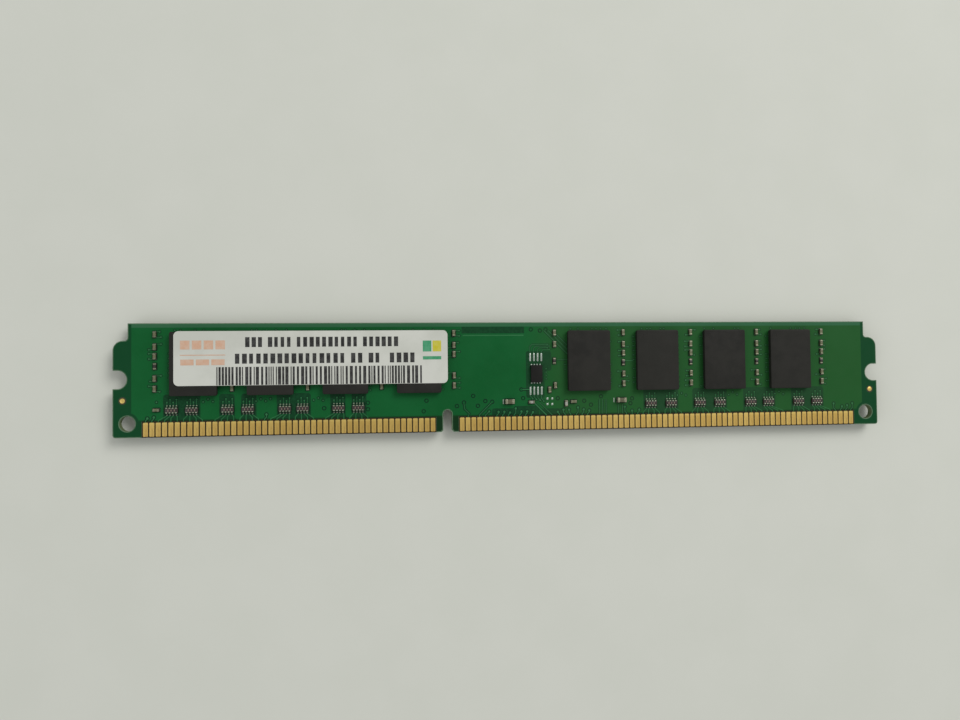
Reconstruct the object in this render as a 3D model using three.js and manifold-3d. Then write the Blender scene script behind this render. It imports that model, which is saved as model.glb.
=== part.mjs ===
// A very-low-profile 240-contact memory module (DIMM) with chips on both faces.
// Millimetres. It lies on its back chips with its front face up: +X runs along the board,
// +Y from the contact edge to the top edge, and +Z out of the front face.
// The origin is the centre of the underside.
import * as THREE from "three";
import { mergeVertices } from "three/addons/utils/BufferGeometryUtils.js";
import Module from "manifold-3d";

const wasm = await Module();
wasm.setup();

// ---- driving dimensions ----
// Distances named "from left" are from the board's left edge, and heights in the board's
// plane are from its contact edge.
const BOARD_LENGTH = 133.35;
const BOARD_HEIGHT = 18.75;
const BOARD_THICKNESS = 1.27;
const BOARD_CORNER_RADIUS = 0.5;
const HOLE_RADIUS = 1.25;
const HOLE_INSET = 2.3;
const ARC_STEPS = 8;

const KEY_FROM_LEFT = 54.675;
const KEY_WIDTH = 1.5;
const KEY_DEPTH = 3.8;
const KEY_CHAMFER = 0.3;

const LATCH_HEIGHT = 9.5;
const LATCH_WIDTH = 3;
const LATCH_DEPTH = 2.2;
const SHOULDER_DEPTH = 2.35;
const SHOULDER_FLOOR = 15.9;
const SHOULDER_FILLET = 0.5;
const SHOULDER_ROUND = 1.6;

const CONTACT_PITCH = 1;
const CONTACT_WIDTH = 0.8;
const CONTACT_BOTTOM = 0.15;
const CONTACT_TOP = 2.45;
const CONTACT_THICKNESS = 0.05;
const CONTACT_BAR = 0.1;
const CONTACT_ROWS = [
  { name: "left_row", firstFromLeft: 5.175, count: 48 },
  { name: "right_row", firstFromLeft: 57.175, count: 72 },
];

const CHIP_WIDTH = 7.5;
const CHIP_LENGTH = 10.5;
const CHIP_TOP = 1.2;
const CHIP_STANDOFF = 0.3;
const CHIP_CORNER_RADIUS = 0.3;
const CHIP_CORNER_STEPS = 4;
const BALL_FIELD_WIDTH = 6.85;
const BALL_FIELD_LENGTH = 10.05;
const CHIP_HEIGHT_ON_BOARD = 12;
const CHIP_PITCH = 12.3;
const CHIP_GROUPS = [12.95, 79.35];
const CHIPS_PER_GROUP = 4;

const LABEL_FROM_LEFT = 9.9;
const LABEL_LENGTH = 44.8;
const LABEL_BOTTOM = 8.38;
const LABEL_HEIGHT = 8.97;
const LABEL_RADIUS = 0.8;
const LABEL_THICKNESS = 0.1;

const ARRAY_LENGTH = 2;
const ARRAY_DEPTH = 1;
const ARRAY_WAIST = 0.76;
const ARRAY_THICKNESS = 0.4;
const ARRAY_TERMINAL_WIDTH = 0.3;
const ARRAY_TERMINAL_PITCH = 0.5;
const ARRAY_HEIGHT_ON_BOARD = 4.4;
const ARRAYS_FROM_LEFT = [
  9.3, 12.5, 18.2, 21.5, 27.5, 30.4, 36.3, 39.6, 90.6, 94.3, 99.6, 103.3, 109.05, 112.4, 118.1, 121.6,
];

// Small chips with a metal cap on each end: the body's length, width, height and cap length.
const SMALL_SIZE = { length: 1, width: 0.5, height: 0.5, cap: 0.25 };
const BULK_SIZE = { length: 1.6, width: 0.8, height: 0.8, cap: 0.35 };
const CAP_PROUD = 0.02;

// Bulk capacitors and lone small parts: distance from left, height on the board, and
// whether the part stands upright, along Y.
const BULK_PLACES = [
  [65.4, 5.05, false],
  [85.2, 5.05, false],
];
const SINGLE_PLACES = [
  [6.9, 4.5, false],
  [69.25, 4.9, false],
  [72.45, 7, true],
  [73.45, 7.75, true],
  [75.35, 4.6, true],
  [76.65, 4.9, false],
  [85.7, 11.65, true],
];
// Columns of small capacitors between the chips.
const CAPACITOR_COLUMNS = [
  { fromLeft: 55.85, heights: [16.9, 14.85, 13.3, 9.65, 7.95] },
  { fromLeft: 73.4, heights: [16.9, 14.9] },
  { fromLeft: 85.7, heights: [16.9, 14.85, 13.3, 9.65, 7.95] },
];

const MEMORY_CENTRE = [70.15, 9.8];
const MEMORY_WIDTH = 2;
const MEMORY_LENGTH = 3;
const MEMORY_THICKNESS = 0.55;
const MEMORY_LEADS = 4;
const MEMORY_LEAD_PITCH = 0.5;
const MEMORY_LEAD_WIDTH = 0.25;
const MEMORY_LEAD_REACH = 0.15;
const MEMORY_LEAD_THICKNESS = 0.2;

// Heights of the faces above the surface that the module lies on.
const BACK_FACE_Z = CHIP_TOP;
const FRONT_FACE_Z = BACK_FACE_Z + BOARD_THICKNESS;

// ---- materials ----
function finish(colour, roughness, metalness) {
  return new THREE.MeshStandardMaterial({ color: colour, roughness, metalness });
}

const SOLDER_MASK = [0x1a5a2e, 0.45, 0];
const GOLD = [0xd9a94a, 0.3, 1];
const MOULD_COMPOUND = [0x2c2c29, 0.7, 0];
const PAPER = [0xdcdcd4, 0.6, 0];
const CERAMIC = [0x9c7d5e, 0.55, 0];
const RESISTOR_BLACK = [0x26241f, 0.5, 0];

// ---- helpers ----
const xFromLeft = (distance) => distance - BOARD_LENGTH / 2;
const yFromContacts = (height) => height - BOARD_HEIGHT / 2;

function solidOf(geometry) {
  const bare = geometry.clone();
  bare.deleteAttribute("normal");
  bare.deleteAttribute("uv");
  const merged = mergeVertices(bare, 1e-4);
  const vertProperties = merged.attributes.position.array;
  const triVerts = new Uint32Array(merged.index.array);
  return new wasm.Manifold(new wasm.Mesh({ numProp: 3, vertProperties, triVerts }));
}

function joined(geometries) {
  const whole = geometries.map(solidOf).reduce((sum, next) => sum.add(next));
  const { vertProperties, triVerts } = whole.getMesh();
  const geometry = new THREE.BufferGeometry();
  geometry.setAttribute("position", new THREE.BufferAttribute(vertProperties, 3));
  geometry.setIndex(new THREE.BufferAttribute(triVerts, 1));
  geometry.computeVertexNormals();
  return geometry;
}

// A box centred on x and y, with its underside at z = bottom.
function block(width, length, thickness, x = 0, y = 0, bottom = 0) {
  return new THREE.BoxGeometry(width, length, thickness).translate(x, y, bottom + thickness / 2);
}

function plate(shape, thickness, steps = ARC_STEPS) {
  return new THREE.ExtrudeGeometry(shape, { depth: thickness, bevelEnabled: false, curveSegments: steps });
}

function roundedRectangle(width, height, radius) {
  const right = width / 2;
  const top = height / 2;
  const shape = new THREE.Shape();
  shape.absarc(right - radius, top - radius, radius, 0, Math.PI / 2);
  shape.absarc(radius - right, top - radius, radius, Math.PI / 2, Math.PI);
  shape.absarc(radius - right, radius - top, radius, Math.PI, 1.5 * Math.PI);
  shape.absarc(right - radius, radius - top, radius, 1.5 * Math.PI, 2 * Math.PI);
  shape.closePath();
  return shape;
}

function mesh(name, geometry, colour) {
  const made = new THREE.Mesh(geometry, finish(...colour));
  made.name = name;
  return made;
}

// A group made standing on z = 0 is lifted to the front face, or given a half turn about Y
// and hung from the back face.
function onFront(group) {
  group.position.z = FRONT_FACE_Z;
  return group;
}

function onBack(group) {
  group.rotation.y = Math.PI;
  group.position.z = BACK_FACE_Z;
  return group;
}

// ---- circuit board ----
// The right half of the outline holds a latch notch and a cut-in shoulder; the left half
// is its mirror image, and the key notch stands off centre.
function sidePoints() {
  const side = new THREE.Path();
  const edge = BOARD_LENGTH / 2;
  const corner = BOARD_CORNER_RADIUS;
  const bottom = yFromContacts(0);
  const latchY = yFromContacts(LATCH_HEIGHT);
  const latchRadius = LATCH_WIDTH / 2;
  const shoulderX = edge - SHOULDER_DEPTH;
  const shoulderY = yFromContacts(SHOULDER_FLOOR);
  side.absarc(edge - corner, bottom + corner, corner, -Math.PI / 2, 0);
  side.lineTo(edge, latchY - latchRadius);
  side.absarc(edge - LATCH_DEPTH + latchRadius, latchY, latchRadius, 1.5 * Math.PI, Math.PI / 2, true);
  side.lineTo(edge, latchY + latchRadius);
  side.absarc(edge - SHOULDER_ROUND, shoulderY - SHOULDER_ROUND, SHOULDER_ROUND, 0, Math.PI / 2);
  side.absarc(shoulderX + SHOULDER_FILLET, shoulderY + SHOULDER_FILLET, SHOULDER_FILLET, 1.5 * Math.PI, Math.PI, true);
  side.lineTo(shoulderX, yFromContacts(BOARD_HEIGHT));
  return side.getPoints(ARC_STEPS);
}

function keyPoints() {
  const key = new THREE.Path();
  const x = xFromLeft(KEY_FROM_LEFT);
  const half = KEY_WIDTH / 2;
  const bottom = yFromContacts(0);
  key.moveTo(x - half - KEY_CHAMFER, bottom);
  key.lineTo(x - half, bottom + KEY_CHAMFER);
  key.absarc(x, bottom + KEY_DEPTH - half, half, Math.PI, 0, true);
  key.lineTo(x + half, bottom + KEY_CHAMFER);
  key.lineTo(x + half + KEY_CHAMFER, bottom);
  return key.getPoints(ARC_STEPS);
}

function roundHole(x, y, radius) {
  const hole = new THREE.Path();
  hole.absarc(x, y, radius, 0, 2 * Math.PI);
  return hole;
}

function circuitBoard() {
  const right = sidePoints();
  const left = right.map((point) => new THREE.Vector2(-point.x, point.y)).reverse();
  const outline = new THREE.Shape([...keyPoints(), ...right, ...left]);
  for (const side of [-1, 1]) {
    const x = side * (BOARD_LENGTH / 2 - HOLE_INSET);
    outline.holes.push(roundHole(x, yFromContacts(HOLE_INSET), HOLE_RADIUS));
  }
  const board = mesh("circuit_board", plate(outline, BOARD_THICKNESS), SOLDER_MASK);
  board.position.z = BACK_FACE_Z;
  return board;
}

// ---- edge contacts ----
// One row of contacts as a comb: a narrow bar joins their upper ends.
function contactComb({ firstFromLeft, count }) {
  const half = CONTACT_WIDTH / 2;
  const bottom = yFromContacts(CONTACT_BOTTOM);
  const top = yFromContacts(CONTACT_TOP);
  const comb = new THREE.Shape();
  comb.moveTo(xFromLeft(firstFromLeft) - half, top);
  for (let index = 0; index < count; index += 1) {
    const x = xFromLeft(firstFromLeft + index * CONTACT_PITCH);
    const nextX = x + CONTACT_PITCH;
    comb.lineTo(x - half, bottom);
    comb.lineTo(x + half, bottom);
    if (index < count - 1) {
      comb.lineTo(x + half, top - CONTACT_BAR);
      comb.lineTo(nextX - half, top - CONTACT_BAR);
    } else {
      comb.lineTo(x + half, top);
    }
  }
  comb.closePath();
  return plate(comb, CONTACT_THICKNESS);
}

function edgeContacts() {
  const group = new THREE.Group();
  for (const row of CONTACT_ROWS) {
    const front = mesh(`front_contacts_${row.name}`, contactComb(row), GOLD);
    front.position.z = FRONT_FACE_Z;
    const back = mesh(`back_contacts_${row.name}`, contactComb(row), GOLD);
    back.position.z = BACK_FACE_Z - CONTACT_THICKNESS;
    group.add(front, back);
  }
  return group;
}

// ---- memory chips ----
// The package stands off the board on its field of solder balls. Chips of one number sit
// back to back on the two faces, so X is negated on the face that gets the half turn.
function chipGeometry() {
  const outline = roundedRectangle(CHIP_WIDTH, CHIP_LENGTH, CHIP_CORNER_RADIUS);
  const body = plate(outline, CHIP_TOP - CHIP_STANDOFF, CHIP_CORNER_STEPS).translate(0, 0, CHIP_STANDOFF);
  const balls = block(BALL_FIELD_WIDTH, BALL_FIELD_LENGTH, CHIP_STANDOFF);
  return joined([body, balls]);
}

function memoryChips(face) {
  const group = new THREE.Group();
  let number = 0;
  for (const first of CHIP_GROUPS) {
    for (let index = 0; index < CHIPS_PER_GROUP; index += 1) {
      number += 1;
      const chip = mesh(`${face}_memory_chip_${number}`, chipGeometry(), MOULD_COMPOUND);
      const x = xFromLeft(first + index * CHIP_PITCH);
      chip.position.set(face === "back" ? -x : x, yFromContacts(CHIP_HEIGHT_ON_BOARD), 0);
      group.add(chip);
    }
  }
  return group;
}

// ---- label ----
function label() {
  const shape = roundedRectangle(LABEL_LENGTH, LABEL_HEIGHT, LABEL_RADIUS);
  const made = mesh("label", plate(shape, LABEL_THICKNESS), PAPER);
  made.position.x = xFromLeft(LABEL_FROM_LEFT + LABEL_LENGTH / 2);
  made.position.y = yFromContacts(LABEL_BOTTOM + LABEL_HEIGHT / 2);
  made.position.z = CHIP_TOP;
  return made;
}

// ---- resistor arrays ----
// The outline is a waist with four terminals standing out along each long side.
function arrayOutline() {
  const halfTerminal = ARRAY_TERMINAL_WIDTH / 2;
  const outer = ARRAY_DEPTH / 2;
  const inner = ARRAY_WAIST / 2;
  const points = [];
  const add = (x, y) => points.push(new THREE.Vector2(x, y));
  for (const side of [-1, 1]) {
    add((side * ARRAY_LENGTH) / 2, side * inner);
    for (const step of [1.5, 0.5, -0.5, -1.5]) {
      const x = side * step * ARRAY_TERMINAL_PITCH;
      add(x + side * halfTerminal, side * inner);
      add(x + side * halfTerminal, side * outer);
      add(x - side * halfTerminal, side * outer);
      add(x - side * halfTerminal, side * inner);
    }
    add((-side * ARRAY_LENGTH) / 2, side * inner);
  }
  return new THREE.Shape(points);
}

function resistorArrays() {
  const group = new THREE.Group();
  ARRAYS_FROM_LEFT.forEach((fromLeft, index) => {
    const array = mesh(`resistor_array_${index + 1}`, plate(arrayOutline(), ARRAY_THICKNESS), RESISTOR_BLACK);
    array.position.set(xFromLeft(fromLeft), yFromContacts(ARRAY_HEIGHT_ON_BOARD), 0);
    group.add(array);
  });
  return group;
}

// ---- small two-ended parts ----
function endedChip({ length, width, height, cap }) {
  const body = block(length - cap, width - 2 * CAP_PROUD, height - CAP_PROUD);
  const reach = (length - cap) / 2;
  const caps = [-1, 1].map((side) => block(cap, width, height, side * reach));
  return joined([body, ...caps]);
}

function placedChip(name, size, [fromLeft, height, upright]) {
  const made = mesh(name, endedChip(size), CERAMIC);
  made.position.set(xFromLeft(fromLeft), yFromContacts(height), 0);
  made.rotation.z = upright ? Math.PI / 2 : 0;
  return made;
}

function smallParts() {
  const group = new THREE.Group();
  BULK_PLACES.forEach((place, index) => {
    group.add(placedChip(`bulk_capacitor_${index + 1}`, BULK_SIZE, place));
  });
  SINGLE_PLACES.forEach((place, index) => {
    group.add(placedChip(`small_passive_${index + 1}`, SMALL_SIZE, place));
  });
  CAPACITOR_COLUMNS.forEach(({ fromLeft, heights }, column) => {
    heights.forEach((height, index) => {
      const name = `column_${column + 1}_capacitor_${index + 1}`;
      group.add(placedChip(name, SMALL_SIZE, [fromLeft, height, true]));
    });
  });
  return group;
}

// ---- configuration memory ----
function configurationChip() {
  const pieces = [block(MEMORY_WIDTH, MEMORY_LENGTH, MEMORY_THICKNESS)];
  const leadLength = MEMORY_LENGTH + 2 * MEMORY_LEAD_REACH;
  for (let index = 0; index < MEMORY_LEADS; index += 1) {
    const x = (index - (MEMORY_LEADS - 1) / 2) * MEMORY_LEAD_PITCH;
    pieces.push(block(MEMORY_LEAD_WIDTH, leadLength, MEMORY_LEAD_THICKNESS, x));
  }
  const chip = mesh("configuration_chip", joined(pieces), MOULD_COMPOUND);
  const [fromLeft, height] = MEMORY_CENTRE;
  chip.position.set(xFromLeft(fromLeft), yFromContacts(height), 0);
  return chip;
}

// ---- the module ----
const frontParts = new THREE.Group();
frontParts.add(memoryChips("front"), label(), resistorArrays(), smallParts(), configurationChip());

const memoryModule = new THREE.Group();
memoryModule.add(circuitBoard(), edgeContacts(), onFront(frontParts), onBack(memoryChips("back")));

export default memoryModule;
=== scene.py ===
import math
import random

import bpy
from mathutils import Euler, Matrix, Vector
from mathutils.geometry import tessellate_polygon


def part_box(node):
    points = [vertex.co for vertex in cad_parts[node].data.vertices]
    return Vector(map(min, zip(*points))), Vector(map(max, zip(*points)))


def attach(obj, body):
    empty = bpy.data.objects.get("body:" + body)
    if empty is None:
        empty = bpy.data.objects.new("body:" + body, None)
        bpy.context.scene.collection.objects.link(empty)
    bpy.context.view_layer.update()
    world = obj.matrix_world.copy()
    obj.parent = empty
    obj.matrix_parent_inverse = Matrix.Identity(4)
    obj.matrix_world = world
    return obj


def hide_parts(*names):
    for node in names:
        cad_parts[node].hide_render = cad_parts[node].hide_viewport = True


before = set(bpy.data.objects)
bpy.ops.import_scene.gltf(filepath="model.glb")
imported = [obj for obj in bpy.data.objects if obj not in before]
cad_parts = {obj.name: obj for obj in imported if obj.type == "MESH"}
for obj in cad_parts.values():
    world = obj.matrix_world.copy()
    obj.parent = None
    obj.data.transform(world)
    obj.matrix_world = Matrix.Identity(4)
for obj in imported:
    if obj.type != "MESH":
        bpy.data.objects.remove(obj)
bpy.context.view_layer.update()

MM = 0.001
BODY = "root"
BOARD_LOW, BOARD_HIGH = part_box("circuit_board")
BOARD_LENGTH = (BOARD_HIGH.x - BOARD_LOW.x) / MM
BOARD_HEIGHT = (BOARD_HIGH.y - BOARD_LOW.y) / MM
BOARD_THICKNESS = (BOARD_HIGH.z - BOARD_LOW.z) / MM
# The module lies on its back chips, so the board's lower face is a chip's height above the floor.
CHIP_TOP = BOARD_LOW.z / MM
dice = random.Random(240)


def on_board(corner):
    """A place in the frame, in the board's own millimetres."""
    return (corner.x - BOARD_LOW.x) / MM, (corner.y - BOARD_LOW.y) / MM


def node_centre(node):
    """A CAD node's middle in the board's own millimetres, and its size."""
    low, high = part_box(node)
    return *on_board((low + high) / 2), (high - low) / MM


# ---- board outline ----
CORNER_RADIUS = 0.5
LATCH_HEIGHT = 9.5
LATCH_RADIUS = 1.5
LATCH_DEPTH = 2.2
SHOULDER_DEPTH = 2.35
SHOULDER_FLOOR = 15.9
SHOULDER_FILLET = 0.5
SHOULDER_ROUND = 1.6
KEY_X = 54.675
KEY_HALF = 0.75
KEY_DEPTH = 3.8
KEY_CHAMFER = 0.3
HOLE_INSET = 2.3
HOLE_RADIUS = 1.25
HOLE_XS = (HOLE_INSET, BOARD_LENGTH - HOLE_INSET)
EDGE_BEVEL = 0.04

# ---- solder mask ----
MASK_INSET = 0.14
MASK_THICKNESS = 0.02
MASK_OPENING_TOP = 2.62
MASK_OPENINGS = [(4.55, 52.78), (56.55, 128.8)]

# ---- places where the mask's tone changes, each from one distance to another ----
RIGHT_HAND = (66.0, 76.0)
# The band above the contacts carries painted shade along the mask's edge.
ABOVE_CONTACTS = (2.66, 2.98)
BELOW_TOP_EDGE = (0.78, 0.66)
BESIDE_KEY = (1.95, 2.1)
KEY_PATCH_TOP = (2.3, 2.7)
ENDS_OF_ROWS = (4.65, 4.55)
BOARD_ENDS = (3.0, 2.9)
ROUND_HOLES = (1.78, 1.88)

# ---- heights of flat areas over the board: no two are the same, so that none share a plane ----
TRACE_LOW = MASK_THICKNESS - 0.004
AREA_TOP = MASK_THICKNESS + 0.0015
BARE_TOP = MASK_THICKNESS + 0.002
GAP_TOP = MASK_THICKNESS + 0.003
RING_TOP = MASK_THICKNESS + 0.004
VIA_HOLE = MASK_THICKNESS + 0.006
PART_GAP_TOP = MASK_THICKNESS + 0.007
PAD_TOP = MASK_THICKNESS + 0.014
TRACE_TOP = MASK_THICKNESS + 0.016
VIA_TOP = TRACE_TOP + 0.001

# ---- contacts ----
CONTACT_PITCH = 1.0
CONTACT_WIDTH = 0.8
CONTACT_LOW = 0.15
CONTACT_HIGH = 2.45
CONTACT_THICKNESS = 0.05
CONTACT_BEVEL = 0.022
CONTACT_CORNER = 0.15
CONTACT_ROWS = {"left_row": (5.175, 48), "right_row": (57.175, 72)}
CONTACT_XS = []
for first_x, contacts in CONTACT_ROWS.values():
    CONTACT_XS += [first_x + index * CONTACT_PITCH for index in range(contacts)]
# Traces start a little inside a contact.
INTO_CONTACT = CONTACT_HIGH - 0.02

# ---- chips: the carrier lies between two heights, on balls given as (radius, height) pairs ----
SUBSTRATE = (0.3, 0.5)
CARRIER_INSET = 0.02
CHIP_CORNER = 0.3
CHIP_BEVEL = 0.05
MARK_INSET = 0.9
MARK_RADIUS = 0.32
MARK_DEPTH = 0.025
BALL_PROFILE = [(0.16, 0.0), (0.215, 0.07), (0.235, 0.15), (0.215, 0.23), (0.16, SUBSTRATE[0] + 0.005)]
BALL_PITCH = 0.8
BALL_ROWS = 13
BALL_COLUMNS = (-4, -3, -2, 2, 3, 4)
CHIP_WIDTH = 7.5
CHIP_PITCH = 12.3
CHIP_XS = [first + CHIP_PITCH * step for first in (12.95, 79.35) for step in range(4)]
CHIP_LOW_Y = 6.75

# ---- label ----
(LABEL_X0, LABEL_Y0), (LABEL_X1, LABEL_Y1) = [on_board(corner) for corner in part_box("label")]
LABEL_RADIUS = 0.8
LABEL_THICKNESS = 0.07
LABEL_LIFT = 0.005
LABEL_SAG = 0.05
INK_LIFT = 0.012

# ---- small parts: SEAT is how far their bodies stand off the board ----
SEAT = 0.03
PART_LENGTH = 1.0
PART_WIDTH = 0.5
CAPACITOR_HEIGHT = 0.48
RESISTOR_HEIGHT = 0.34
END_SHARE = 0.27
RESISTOR_NODES = ("small_passive_7",)
PALE_NODES = ("small_passive_2", "small_passive_5")
ARRAY_XS = [9.3, 12.5, 18.2, 21.5, 27.5, 30.4, 36.3, 39.6]
ARRAY_XS += [90.6, 94.3, 99.6, 103.3, 109.05, 112.4, 118.1, 121.6]
ARRAY_Y = 4.4
ARRAY_PITCH = 0.5
# The places of four things side by side, in steps from their middle.
FOUR = (-1.5, -0.5, 0.5, 1.5)
COLUMN_YS = (16.9, 14.85, 13.3, 11.65, 9.65, 7.95)
RESISTOR_YS = (11.65, 12.0)
COLUMN_XS = [first + CHIP_PITCH * step for first in (6.65, 73.4) for step in range(5)]
EXTRA_COLUMNS = {"column_left_end": (COLUMN_XS[0], COLUMN_YS)}
for number in (1, 2, 3):
    EXTRA_COLUMNS[f"column_under_label_{number}"] = (COLUMN_XS[number], COLUMN_YS[-1:])
EXTRA_COLUMNS["column_2_resistor"] = (73.35, RESISTOR_YS[1:])
for number in (4, 5, 6):
    EXTRA_COLUMNS[f"column_{number}"] = (COLUMN_XS[number + 3], COLUMN_YS)
BACK_COLUMN_YS = (16.1, 12.6, 8.6)
EMPTY_PAD_PITCH = 0.655
EMPTY_PAD_YS = (12.67, 6.83)

# ---- copper ----
CLEARING_LOW = 2.64
VIA_REACH = 4.1
VIA_ROWS = [(6.9, 8.4), (14.3, 17.0), (22.8, 26.4), (32.2, 35.2)]
VIA_ROWS += [(95.5, 98.2), (105.0, 107.8), (113.7, 116.6)]
PLANE_VIAS = [(33.93, 4.38), (41.2, 4.1), (41.2, 5.2), (50.6, 3.6), (51.1, 5.4)]
PLANE_VIAS += [(56.3, 4.4), (57.5, 5.0), (59.1, 6.1), (59.9, 4.4), (61.2, 5.2), (62.4, 5.05)]
PLANE_VIAS += [(67.5, 7.1), (67.8, 5.6), (69.3, 17.5), (70.9, 17.3), (71.9, 17.5), (73.9, 5.5)]
PLANE_VIAS += [(78.6, 5.0), (79.8, 4.3), (81.6, 5.75), (87.2, 5.3), (86.9, 4.45)]


# ================= mesh drawing =================


def arc(x, y, radius, start, end, steps=8):
    """Points on an arc, from start to end in degrees."""
    angles = [math.radians(start + (end - start) * i / steps) for i in range(steps + 1)]
    return [(x + radius * math.cos(a), y + radius * math.sin(a)) for a in angles]


def circle(x, y, radius, steps=24):
    return arc(x, y, radius, 0, 360 * (steps - 1) / steps, steps - 1)


def rounded(width, height, radius, steps=3):
    """An outline maker for a rectangle about the origin: it takes an inset and returns points."""

    def outline(inset=0.0):
        right, top = width / 2 - inset, height / 2 - inset
        r = max(radius - inset, 0.002)
        points = []
        for start, x, y in ((0, 1, 1), (90, -1, 1), (180, -1, -1), (270, 1, -1)):
            points += arc(x * (right - r), y * (top - r), r, start, start + 90, steps)
        return points

    return outline


class Pen:
    """Faces gathered for one piece on the front or the back of the board."""

    def __init__(self, side="front"):
        self.sign = 1 if side == "front" else -1
        self.face_z = (BOARD_HIGH if side == "front" else BOARD_LOW).z
        self.points = []
        self.faces = []
        self.slots = []
        self.place()

    def place(self, x=0.0, y=0.0, turn=0.0):
        """Sets where the next shapes go: shifted by x and y and turned by degrees."""
        self.origin = (x, y)
        self.cos = math.cos(math.radians(turn))
        self.sin = math.sin(math.radians(turn))
        return self

    def point(self, x, y, z):
        ox, oy = self.origin
        px = ox + x * self.cos - y * self.sin
        py = oy + x * self.sin + y * self.cos
        pz = self.face_z + self.sign * z * MM
        self.points.append((BOARD_LOW.x + px * MM, BOARD_LOW.y + py * MM, pz))
        return len(self.points) - 1

    def face(self, corners, slot=0):
        self.faces.append(tuple(corners) if self.sign > 0 else tuple(reversed(corners)))
        self.slots.append(slot)

    def ring(self, outline, z):
        return [self.point(x, y, z) for x, y in outline]

    def bridge(self, low, high, slot=0):
        """Joins two closed rings of points with quads."""
        count = len(low)
        for i in range(count):
            j = (i + 1) % count
            self.face((low[i], low[j], high[j], high[i]), slot)

    def tube(self, rings, slot=0):
        for low, high in zip(rings, rings[1:]):
            self.bridge(low, high, slot)

    def cap(self, rings, outlines, up=True, slot=0):
        """Closes an outline, less any holes, with triangles."""
        flat = [index for ring in rings for index in ring]
        loops = [[Vector((x, y, 0)) for x, y in outline] for outline in outlines]
        spots = [p for loop in loops for p in loop]
        triangles = tessellate_polygon(loops)
        turn = sum((spots[b] - spots[a]).cross(spots[c] - spots[a]).z for a, b, c in triangles)
        for corners in triangles:
            if (turn > 0) != up:
                corners = corners[::-1]
            self.face([flat[i] for i in corners], slot)

    def stack(self, outline, levels, slot=0, holes=()):
        """A closed solid through outline(inset) at each (inset, z) of levels, with holes right through."""
        rings = [self.ring(outline(inset), z) for inset, z in levels]
        self.tube(rings, slot)
        bores = [[self.ring(hole(-inset), z) for inset, z in levels] for hole in holes]
        for bore in bores:
            for low, high in zip(bore, bore[1:]):
                self.bridge(high, low, slot)
        for end, up in ((0, False), (-1, True)):
            inset = levels[end][0]
            shapes = [outline(inset)] + [hole(-inset) for hole in holes]
            self.cap([rings[end]] + [bore[end] for bore in bores], shapes, up, slot)

    def block(self, width, length, low, high, bevel, slot=0, radius=None, steps=2):
        """A block about the origin with bevelled edges and rounded corners."""
        outline = rounded(width, length, bevel if radius is None else radius, steps)
        levels = [(bevel, low), (bevel * 0.3, low + bevel * 0.3), (0, low + bevel)]
        levels += [(0, high - bevel), (bevel * 0.3, high - bevel * 0.3), (bevel, high)]
        self.stack(outline, levels, slot)

    def pad(self, width, length, low, high, bevel, slot=0, radius=0.05):
        """A thin plate with a single bevel on its upper edge."""
        outline = rounded(width, length, radius, 3)
        self.stack(outline, [(0, low), (0, high - bevel), (bevel, high)], slot)

    def lathe(self, profile, slot=0, steps=16):
        """Turns (radius, z) pairs about the origin, from the lowest to the highest."""
        rings = [self.ring(circle(0, 0, max(r, 0.001), steps), z) for r, z in profile]
        self.tube(rings, slot)
        self.face(rings[0][::-1], slot)
        self.face(rings[-1], slot)

    def ribbon(self, path, width, low, high, slot=0):
        """A flat-topped strip along a path of points, mitred at its corners."""
        half = width / 2
        crest = half - min(0.3 * width, high - low)
        section = ((-half, low), (-crest, high), (crest, high), (half, low))
        rows = []
        for i, (x, y) in enumerate(path):
            before = Vector(path[i]) - Vector(path[i - 1]) if i else None
            after = Vector(path[i + 1]) - Vector(path[i]) if i + 1 < len(path) else None
            first = (before or after).normalized()
            second = (after or before).normalized()
            along = (first + second).normalized()
            stretch = 1 / max(along.dot(first), 0.5)
            across = Vector((along.y, -along.x)) * stretch
            rows.append([self.point(x + across.x * s, y + across.y * s, z) for s, z in section])
        for a, b in zip(rows, rows[1:]):
            for k in range(3):
                self.face((a[k + 1], b[k + 1], b[k], a[k]), slot)
            self.face((a[0], b[0], b[3], a[3]), slot)
        self.face(rows[0][::-1], slot)
        self.face(rows[-1], slot)

    def fillet(self, width, start, run, rise, slot=0):
        """A concave solder slope along +x from start, as high as rise at its root, narrowing outwards."""
        steps = 4
        toe = 0.015
        taper = 0.12
        sides = []
        for side in (-1, 1):
            row = []
            for i in range(steps + 1):
                share = i / steps
                half = width / 2 * (1 - taper * share)
                height = toe + (rise - toe) * (1 - share) ** 2
                row.append(self.point(start + run * share, side * half, height))
            row.append(self.point(start + run, side * width / 2 * (1 - taper), 0))
            row.append(self.point(start, side * width / 2, 0))
            sides.append(row)
        left, right = sides
        self.bridge(left, right, slot)
        self.face(left[::-1], slot)
        self.face(right, slot)

    def make(self, name, materials, slot_name, replaces=(), sharp=35):
        """Makes the piece, which rides on the module. slot_name is not used."""
        data = bpy.data.meshes.new(name)
        data.from_pydata(self.points, [], self.faces)
        for material in materials:
            data.materials.append(material)
        data.polygons.foreach_set("material_index", self.slots)
        data.polygons.foreach_set("use_smooth", [True] * len(self.faces))
        data.set_sharp_from_angle(angle=math.radians(sharp))
        data.update()
        piece = bpy.data.objects.new(name, data)
        bpy.context.scene.collection.objects.link(piece)
        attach(piece, BODY)
        if replaces:
            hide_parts(*replaces)


# ================= materials =================


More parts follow.
